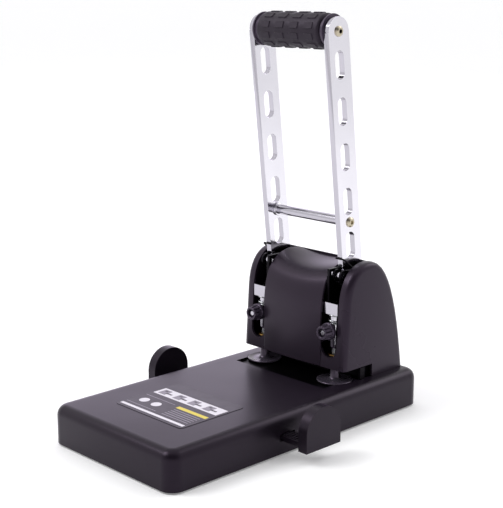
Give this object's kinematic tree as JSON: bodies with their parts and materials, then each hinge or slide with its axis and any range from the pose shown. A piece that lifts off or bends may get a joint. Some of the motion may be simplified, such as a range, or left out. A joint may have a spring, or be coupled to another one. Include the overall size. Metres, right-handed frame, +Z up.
{
  "type": "two-hole paper punch",
  "caption": "Heavy-duty two-hole paper punch with a long base, a punching tower, a tall lever handle with a rubber grip, hold-down discs and sliding side guides.",
  "frame": {"origin": "centre of the base's footprint on the table", "axes": "+Z up, +X to the user's right when facing the machine, +Y from the user towards the punching tower; paper goes in from the -Y side"},
  "size_m": [0.196, 0.27, 0.3214],
  "materials": {
    "base_plastic": "moulded, fine grain, satin",
    "cover_plastic": "moulded, satin",
    "rubber": "moulded, matt",
    "steel": "zinc plated",
    "tool_steel": "ground",
    "label": null,
    "black_oxide_steel": "black oxide",
    "chrome": "polished chrome plate",
    "spring_steel": "bright wire",
    "knob_plastic": "moulded, satin",
    "disc_plastic": "moulded, polished",
    "brass": "machined",
    "zinc_screws": "yellow zinc plated steel"
  },
  "bodies": {
    "frame": {"base_cover": "base_plastic", "bottom_plate": "steel", "rubber_feet": "rubber", "base_screws": "steel", "die_bed": "black_oxide_steel", "die_buttons": "tool_steel", "bed_posts": "steel", "back_stop": "steel", "label_plate": "label", "guide_channel": "black_oxide_steel", "left_outer_frame": "black_oxide_steel", "left_inner_frame": "black_oxide_steel", "right_outer_frame": "black_oxide_steel", "right_inner_frame": "black_oxide_steel", "guide_block": "black_oxide_steel", "punch_bushings": "brass", "guide_posts": "chrome", "pivot_shaft": "chrome", "shaft_clips": "steel", "tie_rod": "steel", "frame_screws": "steel", "return_springs": "spring_steel", "left_torsion_spring": "black_oxide_steel", "right_torsion_spring": "black_oxide_steel", "left_cover": "cover_plastic", "right_cover": "cover_plastic", "centre_cover": "cover_plastic", "rear_cover": "cover_plastic"},
    "carriage": {"crosshead": "chrome", "left_yoke": "black_oxide_steel", "right_yoke": "black_oxide_steel", "left_holder": "chrome", "right_holder": "chrome", "left_punch": "tool_steel", "right_punch": "tool_steel", "cushion_springs": "chrome"},
    "left_knob": {"left_knob": "knob_plastic", "left_clamp_screw": "chrome"},
    "right_knob": {"right_knob": "knob_plastic", "right_clamp_screw": "chrome"},
    "left_hold_down": {"left_hold_down": "disc_plastic"},
    "right_hold_down": {"right_hold_down": "disc_plastic"},
    "handle": {"left_arm": "chrome", "right_arm": "chrome", "left_crank": "black_oxide_steel", "right_crank": "black_oxide_steel", "crank_pins": "chrome", "grip_core": "steel", "grip": "rubber", "grip_collars": "knob_plastic", "grip_screws": "zinc_screws", "crossbar": "chrome", "crossbar_screws": "zinc_screws", "left_spring_hook": "black_oxide_steel", "right_spring_hook": "black_oxide_steel"},
    "left_guide": {"left_guide": "base_plastic"},
    "right_guide": {"right_guide": "base_plastic"},
    "pinion": {"guide_pinion": "brass"},
    "tray": {"chip_tray": "base_plastic"}
  },
  "joints": [
    {"name": "handle_swing", "type": "hinge", "parent": "frame", "child": "handle", "pos_m": [0, 0.081, 0.11], "axis": [1, 0, 0], "range_deg": [0, 58], "stiffness_Nm_per_rad": 0.6, "springref_deg": -68.75},
    {"name": "punch_slide", "type": "slide", "parent": "frame", "child": "carriage", "axis": [0, 0, -1], "range_m": [0, 0.01405], "stiffness_N_per_m": 400, "springref_m": -0.012, "deforming": ["return_springs"]},
    {"name": "left_knob_turn", "type": "hinge", "parent": "carriage", "child": "left_knob", "pos_m": [-0.04, 0.0523, 0.07303], "axis": [0, 1, 0], "continuous": true},
    {"name": "right_knob_turn", "type": "hinge", "parent": "carriage", "child": "right_knob", "pos_m": [0.04, 0.0523, 0.07303], "axis": [0, 1, 0], "continuous": true},
    {"name": "left_hold_down_slide", "type": "slide", "parent": "frame", "child": "left_hold_down", "axis": [0, 0, 1], "range_m": [0, 0.01]},
    {"name": "right_hold_down_slide", "type": "slide", "parent": "frame", "child": "right_hold_down", "axis": [0, 0, 1], "range_m": [0, 0.01]},
    {"name": "right_guide_slide", "type": "slide", "parent": "frame", "child": "right_guide", "axis": [1, 0, 0], "range_m": [-0.0185, 0.039]},
    {"name": "left_guide_slide", "type": "slide", "parent": "frame", "child": "left_guide", "axis": [-1, 0, 0], "range_m": [-0.0186, 0.0391]},
    {"name": "pinion_spin", "type": "hinge", "parent": "frame", "child": "pinion", "pos_m": [0, -0.0058, 0.014], "axis": [0, 0, 1], "range_deg": [-140, 285]},
    {"name": "tray_slide", "type": "slide", "parent": "frame", "child": "tray", "axis": [0, 1, 0], "range_m": [0, 0.08]}
  ],
  "couplings": [
    {"joint": "punch_slide", "follows": "handle_swing", "m_per_rad": 0.013855},
    {"joint": "left_guide_slide", "follows": "right_guide_slide", "ratio": 1},
    {"joint": "pinion_spin", "follows": "right_guide_slide", "rad_per_m": 125}
  ]
}
